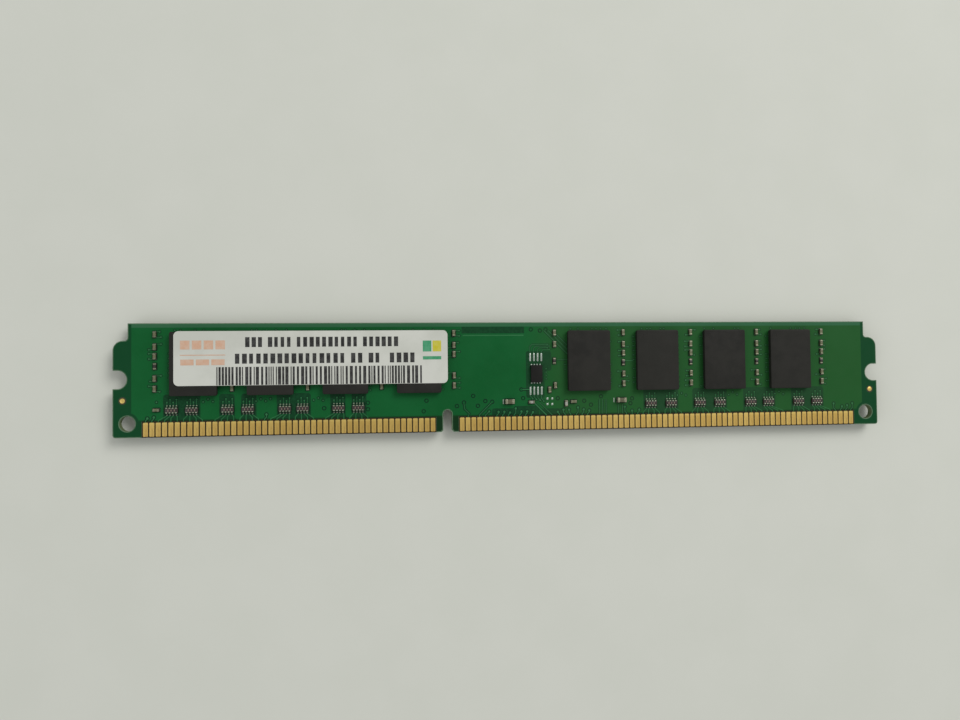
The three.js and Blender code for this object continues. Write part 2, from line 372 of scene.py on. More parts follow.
class Look:
    """A procedural material on one Principled shader, in the module's own coordinates."""

    def __init__(self, name, colour, roughness, metallic=0.0, specular=0.5):
        self.material = bpy.data.materials.new(name)
        self.material.use_nodes = True
        self.tree = self.material.node_tree
        self.shader = next(n for n in self.tree.nodes if n.type == "BSDF_PRINCIPLED")
        self.shader.inputs["Base Color"].default_value = (*colour, 1)
        self.shader.inputs["Roughness"].default_value = roughness
        self.shader.inputs["Metallic"].default_value = metallic
        self.shader.inputs["Specular IOR Level"].default_value = specular
        self.place = self.add("ShaderNodeTexCoord").outputs["Object"]
        self.colour = colour

    def add(self, kind, links=None, values=None, **settings):
        node = self.tree.nodes.new(kind)
        for key, value in settings.items():
            setattr(node, key, value)
        for key, value in (values or {}).items():
            node.inputs[key].default_value = value
        for key, value in (links or {}).items():
            self.tree.links.new(value, node.inputs[key])
        return node

    def math(self, operation, first, second=0.0):
        """A sum, product or comparison of two values, each a number or a node's output."""
        node = self.add("ShaderNodeMath", operation=operation)
        for index, value in enumerate((first, second)):
            if isinstance(value, (int, float)):
                node.inputs[index].default_value = value
            else:
                self.tree.links.new(value, node.inputs[index])
        return node.outputs[0]

    def times(self, first, second):
        return self.math("MULTIPLY", first, second)

    def distance(self, value, middle):
        return self.math("ABSOLUTE", self.math("SUBTRACT", value, middle))

    def axis(self, name):
        """One coordinate in millimetres: x and y as drawn from the board's edges, z from the floor."""
        split = self.add("ShaderNodeSeparateXYZ", {"Vector": self.place})
        offset = {"X": -BOARD_LOW.x, "Y": -BOARD_LOW.y, "Z": 0.0}[name]
        return self.times(self.math("ADD", split.outputs[name], offset), 1 / MM)

    def noise(self, size, detail=3.0, stretch=(1, 1, 1), roughness=0.55):
        """Noise from 0 to 1 with features about size millimetres across."""
        scaled = self.add("ShaderNodeMapping", {"Vector": self.place}, {"Scale": stretch})
        values = {"Scale": 1 / (size * MM), "Detail": detail, "Roughness": roughness}
        return self.add("ShaderNodeTexNoise", {"Vector": scaled.outputs[0]}, values).outputs["Fac"]

    def band(self, value, low, high, start=0.0, end=1.0):
        """A smooth step from start to end as value goes from low to high."""
        values = {"From Min": low, "From Max": high, "To Min": start, "To Max": end}
        node = self.add("ShaderNodeMapRange", {"Value": value}, values, interpolation_type="SMOOTHSTEP")
        return node.outputs[0]

    def below(self, value, fade, most=1.0):
        """A share that falls from most to nothing between the two values of fade."""
        return self.band(value, *fade, most, 0.0)

    def above(self, value, fade, most=1.0):
        """A share that rises from nothing to most between the two values of fade."""
        return self.band(value, *fade, 0.0, most)

    def mix(self, share, first, second):
        """Colours mixed by share; first and second are colours or outputs."""
        node = self.add("ShaderNodeMix", {"Factor": share}, data_type="RGBA")
        for name, value in (("A", first), ("B", second)):
            socket = next(s for s in node.inputs if s.name == name and s.type == "RGBA")
            if isinstance(value, tuple):
                socket.default_value = (*value, 1)
            else:
                self.tree.links.new(value, socket)
        return next(s for s in node.outputs if s.type == "RGBA")

    def mottle(self, dark, light, size, fade=(0.35, 0.65)):
        """Two tones in soft patches about size millimetres across."""
        return self.mix(self.above(self.noise(size, 4.0), fade), dark, light)

    def tint(self, share, tone):
        """Turns the colour so far into a tone, by share."""
        self.colour = self.mix(share, self.colour, tone)

    def fleck(self, tone, share, fade, *noise):
        """Tints flecks of the colour so far, up to share, where the noise is high."""
        self.tint(self.above(self.noise(*noise), fade, share), tone)

    def bump(self, height, depth, strength, under=None):
        links = {"Height": height}
        if under is not None:
            links["Normal"] = under
        return self.add("ShaderNodeBump", links, {"Distance": depth * MM, "Strength": strength}).outputs[0]

    def set(self, socket, output):
        self.tree.links.new(output, self.shader.inputs[socket])

    def finish(self, polish=None, relief=None, under=None):
        """Sets the colour, a roughness that varies as (low, high, size, detail) and a fine relief.

        The relief is (depth, strength, noise size, detail) and lies over the bumps under it.
        """
        self.set("Base Color", self.colour)
        if polish:
            low, high, *noise = polish
            self.set("Roughness", self.band(self.noise(*noise), 0.3, 0.7, low, high))
        if relief:
            depth, strength, *noise = relief
            self.set("Normal", self.bump(self.noise(*noise), depth, strength, under))
        return self.material


def shifted(colour, by):
    return tuple(c + more for c, more in zip(colour, by))


def scaled(colour, factor):
    return tuple(factor * c for c in colour)


def mask_tone(look, deep, pale, extra):
    """Mottled green that turns, at the board's right, into the deep tone and something extra."""
    look.colour = look.mottle(deep, pale, 9.0, (0.3, 0.7))
    look.fleck(scaled(pale, 1.4), 0.3, (0.4, 0.8), 0.12, 2)
    look.tint(look.above(look.axis("X"), RIGHT_HAND, 0.7), shifted(deep, extra))


def finish_mask(look):
    """The mask's gloss, over the weave of the glass cloth."""
    weave = look.bump(look.noise(0.55, 2, (1, 1, 0.2)), 0.006, 0.5)
    return look.finish((0.32, 0.46, 1.6, 4), (0.002, 0.5, 0.06, 2), weave)


def end_shares(look, x, y):
    """Where the rows of contacts run, and where the board's ends have no inner plane, both 0 to 1."""
    middle = BOARD_LENGTH / 2
    from_middle = look.distance(x, middle)
    rows = look.below(from_middle, [middle - end for end in ENDS_OF_ROWS])
    strip = look.above(from_middle, [middle - end for end in BOARD_ENDS])
    across = look.math("SUBTRACT", from_middle, middle - HOLE_INSET)
    up = look.math("SUBTRACT", y, HOLE_INSET)
    squares = look.math("ADD", look.times(across, across), look.times(up, up))
    round_hole = look.below(look.math("SQRT", squares), ROUND_HOLES)
    beside_rows = look.times(look.math("SUBTRACT", 1.0, rows), look.below(y, ABOVE_CONTACTS))
    ends = look.math("MAXIMUM", look.math("MAXIMUM", strip, round_hole), beside_rows)
    return rows, ends


def mask_look():
    """Green solder mask: paler along the top edge, darker where copper or an inner plane is missing, and
    darkened by painted shade along its edge above the contacts.
    """
    deep = (0.0028, 0.080, 0.0180)
    look = Look("solder_mask", deep, 0.4, specular=0.10)
    x = look.axis("X")
    y = look.axis("Y")
    mask_tone(look, deep, (0.0048, 0.097, 0.0245), (0.016, 0.004, 0.0016))
    top_edge = look.above(y, [BOARD_HEIGHT - down for down in BELOW_TOP_EDGE])
    look.tint(top_edge, (0.030, 0.118, 0.055))
    beside_key = look.times(look.below(look.distance(x, KEY_X), BESIDE_KEY), look.below(y, KEY_PATCH_TOP))
    look.tint(beside_key, (0.0030, 0.042, 0.0140))
    rows, ends = end_shares(look, x, y)
    # Painted shade: the mask is darkened in a band just above the rows of contacts, along its edge.
    look.tint(look.times(rows, look.below(y, ABOVE_CONTACTS, 0.9)), (0.0040, 0.028, 0.0070))
    look.tint(ends, (0.0035, 0.052, 0.0165))
    return finish_mask(look)


def copper_look():
    """Mask over a trace, which is lighter."""
    deep = (0.0170, 0.112, 0.0370)
    look = Look("mask_over_copper", deep, 0.4, specular=0.10)
    mask_tone(look, deep, (0.0300, 0.150, 0.0570), (0.016, 0.030, 0.012))
    return finish_mask(look)


def gap_look(name, dark, light):
    """Mask over bare laminate, where copper is cut back."""
    look = Look(name, dark, 0.42, specular=0.10)
    look.colour = look.mottle(dark, light, 0.4)
    look.tint(look.above(look.axis("X"), RIGHT_HAND, 0.7), shifted(light, (0.0090, 0.0080, 0.0030)))
    # Painted shade: darker in a band just above the contacts, along the mask's edge.
    look.tint(look.below(look.axis("Y"), ABOVE_CONTACTS, 0.85), (0.0030, 0.020, 0.0050))
    return look.finish((0.36, 0.5, 0.8, 3), (0.002, 0.5, 0.06, 2))


def laminate_look():
    """Glass-epoxy board: pale green at its cut edges, dark brown between the contacts, darkened further
    there by painted shade.
    """
    look = Look("bare_laminate", (0.075, 0.120, 0.055), 0.6, specular=0.3)
    x = look.axis("X")
    y = look.axis("Y")
    z = look.axis("Z")
    wave = {"Scale": 1300.0, "Distortion": 0.8, "Detail": 2.0}
    plies = look.add("ShaderNodeTexWave", {"Vector": look.place}, wave, bands_direction="Z")
    ply = look.band(plies.outputs["Fac"], 0.3, 0.7)
    look.colour = look.mix(ply, (0.085, 0.125, 0.052), (0.150, 0.190, 0.096))
    look.fleck((0.200, 0.235, 0.135), 0.45, (0.4, 0.7), 0.05, 3, (0.12, 0.12, 1))
    rim = look.mottle((0.070, 0.132, 0.076), (0.112, 0.185, 0.112), 0.3)
    # Between and below the contacts the laminate's own brown is darkened almost to black as painted shade.
    between = look.mottle((0.012, 0.0070, 0.0008), (0.026, 0.0150, 0.0020), 0.3)
    soft = 0.05
    rows = []
    for start, end in MASK_OPENINGS:
        rows.append(look.times(look.above(x, (start, start + soft)), look.below(x, (end - soft, end))))
    opened = look.times(look.math("ADD", *rows), look.below(y, (MASK_OPENING_TOP, 3.0)))
    near, far = 0.03, 0.06
    front = look.above(z, (BOARD_HIGH.z / MM - far, BOARD_HIGH.z / MM - near))
    back = look.below(z, (BOARD_LOW.z / MM + near, BOARD_LOW.z / MM + far))
    look.tint(look.math("ADD", front, back), look.mix(opened, rim, between))
    return look.finish((0.5, 0.75, 0.3), (0.012, 0.7, 0.09, 3, (0.4, 0.4, 1)))


def gold_look():
    """Hard gold: each contact has its own tone, fine grain along the way in, a wiped stripe and a painted
    highlight along its top.
    """
    look = Look("gold_plate", (0.86, 0.55, 0.15), 0.38, metallic=1.0)
    y = look.axis("Y")
    first = CONTACT_ROWS["left_row"][0] % CONTACT_PITCH
    steps = look.math("ADD", look.axis("X"), 0.5 * CONTACT_PITCH - first)
    tone = look.add("ShaderNodeTexWhiteNoise", {"W": look.math("FLOOR", steps)}, noise_dimensions="1D")
    look.colour = look.mix(tone.outputs["Value"], (0.61, 0.405, 0.112), (0.72, 0.51, 0.158))
    grain = look.noise(0.5, 4, (12, 0.7, 1))
    look.tint(look.above(grain, (0.45, 0.75), 0.30), (0.50, 0.32, 0.090))
    # Painted highlight: the top of each contact is lighter.
    look.tint(look.above(y, (1.95, 2.35), 0.5), (0.84, 0.64, 0.21))
    from_stripe = look.distance(look.math("FRACT", steps), 0.58)
    stripe = look.times(look.below(from_stripe, (0.04, 0.28)), look.below(y, (1.1, 2.0)))
    hatch = look.band(look.noise(0.35, 3, (2.5, 0.6, 1)), 0.35, 0.65, 0.2, 0.6)
    worn = look.times(stripe, hatch)
    gloss = look.band(grain, 0.3, 0.7, 0.32, 0.46)
    look.set("Roughness", look.math("ADD", gloss, look.times(worn, 0.1)))
    look.tint(worn, (0.40, 0.24, 0.08))
    brushed = look.bump(grain, 0.004, 0.6)
    return look.finish(relief=(0.002, 0.4, 0.08, 2), under=brushed)


def mould_look(name, tone):
    """Moulded epoxy: dark warm grey with fine silica grain. A smaller tone is darker."""
    look = Look(name, scaled((0.016, 0.0155, 0.0135), tone), 0.62, specular=0.2)
    dark, light = scaled((0.0125, 0.0122, 0.0105), tone), scaled((0.0200, 0.0190, 0.0165), tone)
    look.colour = look.mottle(dark, light, 2.6)
    grain = scaled((0.046, 0.043, 0.038), tone)
    look.fleck(grain, 0.5, (0.58, 0.72), 0.035, 2)
    cloud = scaled((0.0215, 0.0210, 0.0170), tone)
    look.fleck(cloud, 0.6, (0.35, 0.65), 16.0, 1)
    scuff = scaled((0.070, 0.067, 0.060), tone)
    look.fleck(scuff, 0.6, (0.64, 0.76), 0.7, 5, (1, 7, 1), 0.75)
    rough = look.bump(look.noise(0.05, 3), 0.005, 0.6)
    return look.finish((0.58, 0.68, 0.12, 3), (0.003, 0.3, 1.4, 2), rough)


def carrier_look():
    """The thin green-black carrier under the moulding."""
    look = Look("chip_carrier", (0.010, 0.026, 0.016), 0.45)
    look.colour = look.mottle((0.006, 0.017, 0.011), (0.018, 0.036, 0.022), 0.15)
    return look.finish(relief=(0.004, 0.6, 0.07, 2))


def metal_look(name, dark, light, roughness, grain):
    """Tin or solder: dull silver, with small crystals and a slight tarnish."""
    look = Look(name, light, roughness, metallic=1.0)
    look.colour = look.mottle(dark, light, 0.22)
    look.fleck(dark, 0.4, (0.5, 0.75), 0.9, 3)
    return look.finish((roughness - 0.08, roughness + 0.12, grain, 3), (0.006, 0.6, grain, 3))


def ceramic_look(name, dark, light, roughness=0.5):
    """Fired ceramic with a fine speckle."""
    look = Look(name, dark, roughness)
    look.colour = look.mottle(dark, light, 0.12)
    look.fleck(scaled(light, 1.7), 0.5, (0.62, 0.72), 0.03, 2)
    return look.finish((roughness - 0.08, roughness + 0.1, 0.2), (0.004, 0.6, 0.06, 3))


def paper_look():
    """Satin label film over a paper core, with fibres and a little dust."""
    look = Look("label_film", (0.60, 0.61, 0.57), 0.5, specular=0.3)
    look.colour = look.mottle((0.515, 0.525, 0.480), (0.580, 0.588, 0.545), 6.0)
    look.fleck((0.47, 0.48, 0.44), 0.5, (0.55, 0.8), 0.25, 5, (1, 3, 1), 0.7)
    look.fleck((0.35, 0.34, 0.31), 0.6, (0.72, 0.78), 0.05, 2)
    fine = look.bump(look.noise(0.12, 4), 0.004, 0.5)
    return look.finish((0.42, 0.56, 1.2), (0.02, 0.4, 3.0, 2), fine)


def ink_look(name, dark, light):
    """Thermal-transfer print, slightly worn so that it isn't one even tone."""
    look = Look(name, dark, 0.42, specular=0.3)
    look.colour = look.mottle(dark, shifted(scaled(dark, 0.6), scaled(light, 0.4)), 0.7)
    look.fleck(light, 0.45, (0.6, 0.72), 0.09, 4)
    return look.finish((0.36, 0.5, 0.4), (0.002, 0.5, 0.1, 3))


def floor_look():
    look = Look("pale_floor", (0.60, 0.61, 0.56), 0.85, specular=0.2)
    look.colour = look.mottle((0.598, 0.610, 0.562), (0.612, 0.622, 0.576), 14.0, (0.3, 0.7))
    return look.finish(relief=(0.02, 0.3, 0.8, 4))


MASK = mask_look()
MASK_ON_COPPER = copper_look()
MASK_GAP = gap_look("mask_over_gap", (0.0016, 0.022, 0.0090), (0.0032, 0.033, 0.0135))
MASK_ON_GLASS = gap_look("mask_over_glass", (0.0032, 0.041, 0.0135), (0.0052, 0.053, 0.0180))
LAMINATE = laminate_look()
GOLD = gold_look()
MOULD = mould_look("mould_compound", 0.80)
DARK_MOULD = mould_look("dark_mould_compound", 0.42)
CARRIER = carrier_look()
SOLDER = metal_look("solder", (0.31, 0.36, 0.32), (0.51, 0.58, 0.52), 0.36, 0.10)
# Painted shade: the solder of the joints round the small parts is made far darker than the bare solder.
SHADED_JOINT_SOLDER = metal_look("shaded_joint_solder", (0.12, 0.12, 0.105), (0.23, 0.225, 0.20), 0.44, 0.10)
TIN = metal_look("tin_end", (0.152, 0.157, 0.108), (0.285, 0.290, 0.208), 0.48, 0.06)
ARRAY_TIN = metal_look("array_tin_end", (0.22, 0.27, 0.195), (0.365, 0.44, 0.32), 0.40, 0.10)
TAN_CERAMIC = ceramic_look("tan_ceramic", (0.088, 0.084, 0.042), (0.138, 0.134, 0.070))
BULK_TIN = metal_look("bulk_tin_end", (0.19, 0.19, 0.135), (0.365, 0.36, 0.265), 0.46, 0.08)
BULK_CERAMIC = ceramic_look("bulk_ceramic", (0.062, 0.060, 0.030), (0.098, 0.095, 0.050))
PALE_CERAMIC = ceramic_look("pale_ceramic", (0.24, 0.24, 0.212), (0.345, 0.345, 0.31))
DARK_CERAMIC = ceramic_look("dark_ceramic", (0.034, 0.017, 0.014), (0.062, 0.034, 0.028))
BROWN_CERAMIC = ceramic_look("brown_ceramic", (0.130, 0.085, 0.065), (0.200, 0.140, 0.110))
BARE_GLASS = ceramic_look("bare_glass", (0.018, 0.019, 0.006), (0.034, 0.034, 0.011))
BLACK_GLAZE = ceramic_look("black_glaze", (0.012, 0.009, 0.008), (0.026, 0.019, 0.017), 0.35)
PAPER = paper_look()
BLACK_INK = ink_look("black_ink", (0.014, 0.014, 0.014), (0.10, 0.10, 0.10))
ORANGE_INK = ink_look("orange_ink", (0.585, 0.36, 0.25), (0.60, 0.48, 0.39))
GREEN_INK = ink_look("green_ink", (0.035, 0.26, 0.12), (0.14, 0.38, 0.24))
YELLOW_INK = ink_look("yellow_ink", (0.50, 0.45, 0.02), (0.58, 0.55, 0.16))


# ================= board =================


def side_outline(inset):
    """The right-hand side of the outline, from the bottom corner up to the top edge."""
    edge = BOARD_LENGTH
    shoulder = edge - SHOULDER_DEPTH
    points = arc(edge - CORNER_RADIUS, CORNER_RADIUS, CORNER_RADIUS - inset, -90, 0)
    lip = min(LATCH_RADIUS + inset, LATCH_HEIGHT)
    points.append((edge - inset, LATCH_HEIGHT - lip))
    points += arc(edge - LATCH_DEPTH + LATCH_RADIUS, LATCH_HEIGHT, lip, 270, 90, 16)
    points.append((edge - inset, LATCH_HEIGHT + lip))
    points += arc(edge - SHOULDER_ROUND, SHOULDER_FLOOR - SHOULDER_ROUND, SHOULDER_ROUND - inset, 0, 90)
    fillet = SHOULDER_FILLET
    points += arc(shoulder + fillet, SHOULDER_FLOOR + fillet, fillet + inset, 270, 180)
    points.append((shoulder - inset, BOARD_HEIGHT - inset))
    return points


def both_sides(inset):
    """The right-hand side and its mirror image, which ends at the bottom left corner."""
    right = side_outline(inset)
    return right + [(BOARD_LENGTH - x, y) for x, y in reversed(right)]


def key_outline(inset):
    """The key notch, from its left lip to its right one."""
    half = KEY_HALF + inset
    points = [(KEY_X - half - KEY_CHAMFER, inset), (KEY_X - half, KEY_CHAMFER + inset)]
    points += arc(KEY_X, KEY_DEPTH - KEY_HALF, half, 180, 0, 12)
    return points + [(KEY_X + half, KEY_CHAMFER + inset), (KEY_X + half + KEY_CHAMFER, inset)]


def board_outline(inset=0.0):
    return key_outline(inset) + both_sides(inset)


def mask_opening(start, end, low, inset):
    """The mask's edge round one row of contacts, from left to right."""
    left, right, top = start - inset, end + inset, MASK_OPENING_TOP + inset
    return [(left, low), (left, top), (right, top), (right, low)]


def mask_outline(inset=0.0):
    """The board's outline drawn in, and cut away over both rows of contacts."""
    total = MASK_INSET + inset
    left, right = [mask_opening(*ends, total, inset) for ends in MASK_OPENINGS]
    return key_outline(total) + right + both_sides(total) + left


def hole_at(x, margin=0.0):
    """An outline maker for the hole at x, drawn wider by margin."""
    return lambda inset=0.0: circle(x, HOLE_INSET, HOLE_RADIUS + margin - inset, 32)


def make_board():
    pen = Pen("front")
    low = -BOARD_THICKNESS
    levels = [(EDGE_BEVEL, low), (0, low + EDGE_BEVEL), (0, -EDGE_BEVEL), (EDGE_BEVEL, 0)]
    pen.stack(board_outline, levels, holes=[hole_at(x) for x in HOLE_XS])
    pen.make("board_core", [LAMINATE], "solder_mask", ["circuit_board"])


def make_mask(side):
    pen = Pen(side)
    levels = [(0, 0), (MASK_THICKNESS, MASK_THICKNESS)]
    pen.stack(mask_outline, levels, holes=[hole_at(x, MASK_INSET) for x in HOLE_XS])
    pen.make(f"{side}_solder_mask", [MASK], "solder_mask")


def make_contacts(side):
    """One piece for each row, of separate gold contacts."""
    length = CONTACT_HIGH - CONTACT_LOW
    middle = (CONTACT_LOW + CONTACT_HIGH) / 2
    for row, (first, count) in CONTACT_ROWS.items():
        pen = Pen(side)
        for index in range(count):
            pen.place(first + index * CONTACT_PITCH, middle)
            pen.pad(CONTACT_WIDTH, length, 0, CONTACT_THICKNESS, CONTACT_BEVEL, radius=CONTACT_CORNER)
        pen.make(f"{side}_gold_{row}", [GOLD], "gold_contacts", [f"{side}_contacts_{row}"])


# ================= memory chips =================


def make_chip(side, number):
    """A carrier and a moulding, with a shallow round mark in one corner that shows ball A1."""
    node = f"{side}_memory_chip_{number}"
    x, y, size = node_centre(node)
    pen = Pen(side).place(x, y)
    bottom, middle = SUBSTRATE
    width, length = size.x - CARRIER_INSET, size.y - CARRIER_INSET
    pen.block(width, length, bottom, middle, 0.015, 1, radius=CHIP_CORNER, steps=6)
    outline = rounded(size.x, size.y, CHIP_CORNER, 6)
    bevel = CHIP_BEVEL
    levels = [(0.01, middle), (0, middle + 0.01), (0, CHIP_TOP - bevel)]
    levels += [(bevel * 0.3, CHIP_TOP - bevel * 0.3), (bevel, CHIP_TOP)]
    rings = [pen.ring(outline(inset), z) for inset, z in levels]
    pen.tube(rings)
    pen.face(rings[0][::-1])
    mark_x, mark_y = MARK_INSET - size.x / 2, size.y / 2 - MARK_INSET
    rim = circle(mark_x, mark_y, MARK_RADIUS)
    rim_ring = pen.ring(rim, CHIP_TOP)
    dish_ring = pen.ring(circle(mark_x, mark_y, MARK_RADIUS - 0.03), CHIP_TOP - MARK_DEPTH)
    pen.cap([rings[-1], rim_ring], [outline(bevel), rim])
    pen.bridge(rim_ring, dish_ring)
    pen.face(dish_ring)
    pen.make(f"{side}_chip_{number}", [MOULD, CARRIER], "mould_compound", [node])


def make_balls(side):
    """The solder balls under every memory chip of one side, in two groups of three columns."""
    pen = Pen(side)
    for number in range(1, len(CHIP_XS) + 1):
        x, y, _ = node_centre(f"{side}_memory_chip_{number}")
        for column in BALL_COLUMNS:
            for row in range(BALL_ROWS):
                step = row - (BALL_ROWS - 1) / 2
                pen.place(x + column * BALL_PITCH, y + step * BALL_PITCH).lathe(BALL_PROFILE, steps=10)
    pen.make(f"{side}_solder_balls", [SOLDER], "solder")


# ================= label =================


def label_top(x):
    """The label's upper surface: flat on the chips, sagging a little between them."""
    nearest = min(CHIP_XS[:4], key=lambda centre: abs(x - centre))
    outside = max(0.0, abs(x - nearest) - CHIP_WIDTH / 2)
    share = min(outside / ((CHIP_PITCH - CHIP_WIDTH) / 2), 1.0)
    return CHIP_TOP + LABEL_THICKNESS + LABEL_LIFT - LABEL_SAG * math.sin(share * math.pi / 2) ** 2


def spread(low, high, step):
    """Evenly spaced values from low to high, at most step apart."""
    count = max(1, math.ceil((high - low) / step))
    return [low + (high - low) * i / count for i in range(count + 1)]


def on_label(pen, xs, span, lift, thickness, slot=0):
    """A thin closed sheet that follows the label, between span(x) = (y low, y high) at each x."""
    columns = []
    for x in xs:
        low, high = span(x)
        top = label_top(x) + lift
        ys = [low, (2 * low + high) / 3, (low + 2 * high) / 3, high]
        upper = [pen.point(x, y, top) for y in ys]
        lower = [pen.point(x, y, top - thickness) for y in ys]
        columns.append(upper + lower[::-1])
    count = len(columns[0])
    for left, right in zip(columns, columns[1:]):
        for i in range(count):
            j = (i + 1) % count
            pen.face((left[j], left[i], right[i], right[j]), slot)
    pen.face(columns[0], slot)
    pen.face(columns[-1][::-1], slot)


def label_span(x):
    """The label's lower and upper edge at x, which curve in at the rounded corners."""
    corner = max(LABEL_X0 + LABEL_RADIUS - x, x - LABEL_X1 + LABEL_RADIUS, 0.0)
    cut = LABEL_RADIUS - math.sqrt(max(LABEL_RADIUS**2 - corner**2, 0.0))
    return LABEL_Y0 + cut, LABEL_Y1 - cut


def make_label():
    pen = Pen("front")
    steps = [LABEL_RADIUS * (1 - math.cos(math.radians(a))) for a in range(0, 90, 10)]
    xs = [LABEL_X0 + s for s in steps]
    xs += spread(LABEL_X0 + LABEL_RADIUS, LABEL_X1 - LABEL_RADIUS, 0.4)
    xs += [LABEL_X1 - s for s in reversed(steps)]
    # The ends are drawn in a hair, to stay inside the label's box.
    xs[0] += 0.002
    xs[-1] -= 0.002
    on_label(pen, xs, label_span, 0, LABEL_THICKNESS)
    pen.make("label_sheet", [PAPER], "label_paper", ["label"], sharp=50)


def bar(pen, x0, x1, y0, y1, slot=0):
    """One printed rectangle on the label."""
    on_label(pen, spread(x0, x1, 0.5), lambda x: (y0, y1), INK_LIFT, INK_LIFT * 0.8, slot)


def make_barcode():
    """Random bars and gaps, a whole number of modules wide, that encode nothing."""
    pen = Pen("front")
    module = 0.17
    low, high = LABEL_Y0 + 0.06, 11.42
    x, end = 16.7, 50.3
    while x < end:
        width = module * dice.choice((1, 2, 2, 3))
        bar(pen, x, min(x + width, end), low, high)
        x += width + module * dice.choice((1, 1, 2, 2))
    pen.make("label_barcode", [BLACK_INK], "label_paper")


def make_text_blocks():
    """Blank blocks stand where two lines of print would be; a word of no letters is a space."""
    pen = Pen("front")
    upper_line = (21.3, 14.68, 16.32, 1.03, (3, 0, 4, 0, 10, 0, 6))
    lower_line = (19.65, 11.95, 13.60, 1.14, (16, 0, 2, 0, 2, 0, 0, 4))
    for x, low, high, pitch, words in (upper_line, lower_line):
        for letters in words:
            if not letters:
                x += 0.55 * pitch
            for _ in range(letters):
                width = pitch * dice.choice((0.54, 0.62, 0.68))
                bar(pen, x, x + width, low, high)
                x += pitch
    pen.make("label_text_blocks", [BLACK_INK], "label_paper")


def make_accents():
    """Plain coloured shapes: orange tiles with a rule and dashes, and two small tiles with a bar."""
    pen = Pen("front")
    orange, green, yellow = range(3)
    for step in range(4):
        start = 10.95 + 1.87 * step
        bar(pen, start, start + 1.5, 14.35, 15.8, orange)
    bar(pen, 10.9, 18.1, 13.33, 13.47, orange)
    for step in range(3):
        start = 11.0 + 2.45 * step
        bar(pen, start, start + 2.1, 11.75, 12.7, orange)
    for start, ink in ((50.5, green), (52.15, yellow)):
        bar(pen, start, start + 1.45, 13.75, 15.6, ink)
    bar(pen, 50.5, 53.6, 12.4, 12.95, green)
    pen.make("label_accents", [ORANGE_INK, GREEN_INK, YELLOW_INK], "label_paper")


# ================= small parts =================


PART_MATERIALS = [TAN_CERAMIC, TIN, SHADED_JOINT_SOLDER, DARK_CERAMIC, BLACK_GLAZE, MASK_GAP]
PART_MATERIALS += [PALE_CERAMIC, BROWN_CERAMIC, ARRAY_TIN, BULK_CERAMIC, BULK_TIN]
BODY_TAN, END_TIN, SHADED_JOINT, BODY_DARK, TOP_BLACK, SHADED_CLEARANCE = range(6)
BODY_PALE, BODY_BROWN, END_ARRAY, BODY_BULK, END_BULK = range(6, 11)


def shaded_clearance(pen, length, width, radius):
    """The thin dark area under a part, where the copper is cut back; its margin round the part also serves
    as painted shade.
    """
    pen.pad(length, width, 0.0, PART_GAP_TOP, 0.003, SHADED_CLEARANCE, radius=radius)


def two_ended(pen, x, y, turn, size, cap, body, ends):
    """A chip part of (length, width, height) with a metal cap on each end, standing on solder."""
    length, width, height = size
    margin, pad_length, pad_inset, toe = 0.30, 0.36, 0.12, 0.07
    pen.place(x, y, turn)
    along_x, along_y = pen.cos, pen.sin
    # The dark area round the part is partly real copper clearance and partly painted shade.
    shaded_clearance(pen, length + margin, width + margin, 0.12)
    pen.block(length - cap, width - 0.05, SEAT, height - 0.02, 0.03, body)
    for side in (-1, 1):
        reach = side * (length - cap) / 2
        pen.place(x + reach * along_x, y + reach * along_y, turn)
        pen.block(cap, width, SEAT * 0.5, height, 0.045, ends, radius=0.06, steps=3)
        pen.place(x, y, turn + (0 if side > 0 else 180))
        # The fillet and the pad take the joint solder, which is darkened as painted shade round the part's
        # end.
        pen.fillet(width * 0.88, length / 2 - 0.02, toe, height * 0.4, SHADED_JOINT)
        reach = side * (length / 2 - pad_inset)
        pen.place(x + reach * along_x, y + reach * along_y, turn)
        pen.pad(pad_length, width, 0.0, PAD_TOP, 0.006, SHADED_JOINT)
    pen.place(x, y, turn)


def small_capacitor(pen, x, y):
    size = (PART_LENGTH, PART_WIDTH, CAPACITOR_HEIGHT)
    two_ended(pen, x, y, 90, size, END_SHARE * PART_LENGTH, BODY_TAN, END_TIN)


def small_resistor(pen, x, y):
    """A chip resistor: a slab with a black glazed top between its ends."""
    cap = 0.24
    size = (PART_LENGTH, PART_WIDTH, RESISTOR_HEIGHT)
    two_ended(pen, x, y, 90, size, cap, BODY_DARK, END_TIN)
    pen.block(0.56, 0.42, RESISTOR_HEIGHT - 0.04, RESISTOR_HEIGHT + 0.005, 0.012, TOP_BLACK)


def make_named_part(node):
    """The detailed part that stands for a two-ended CAD node."""
    x, y, size = node_centre(node)
    pen = Pen("front")
    if node in RESISTOR_NODES:
        small_resistor(pen, x, y)
    else:
        length, width = max(size.x, size.y), min(size.x, size.y)
        turn = 90 if size.y > size.x else 0
        body, ends = (BODY_PALE if node in PALE_NODES else BODY_TAN), END_TIN
        if node.startswith("bulk"):
            body, ends = BODY_BULK, END_BULK
        two_ended(pen, x, y, turn, (length, width, size.z - 0.02), END_SHARE * length, body, ends)
    name = node.replace("_capacitor_", "_part_").replace("passive", "part")
    pen.make(name, PART_MATERIALS, "ceramic", [node])


def make_named_parts():
    for node in sorted(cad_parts):
        if node.startswith(("bulk_capacitor", "small_passive", "column_")):
            make_named_part(node)


def make_extra_columns():
    """The column parts that have no CAD node of their own."""
    for name, (x, heights) in EXTRA_COLUMNS.items():
        pen = Pen("front")
        for y in heights:
            small_part = small_resistor if y in RESISTOR_YS else small_capacitor
            small_part(pen, x, y)
        pen.make(name, PART_MATERIALS, "ceramic")
    for index, x in enumerate(COLUMN_XS):
        pen = Pen("back")
        for y in BACK_COLUMN_YS:
            small_capacitor(pen, x, y)
        pen.make(f"back_column_{index + 1}", PART_MATERIALS, "ceramic")


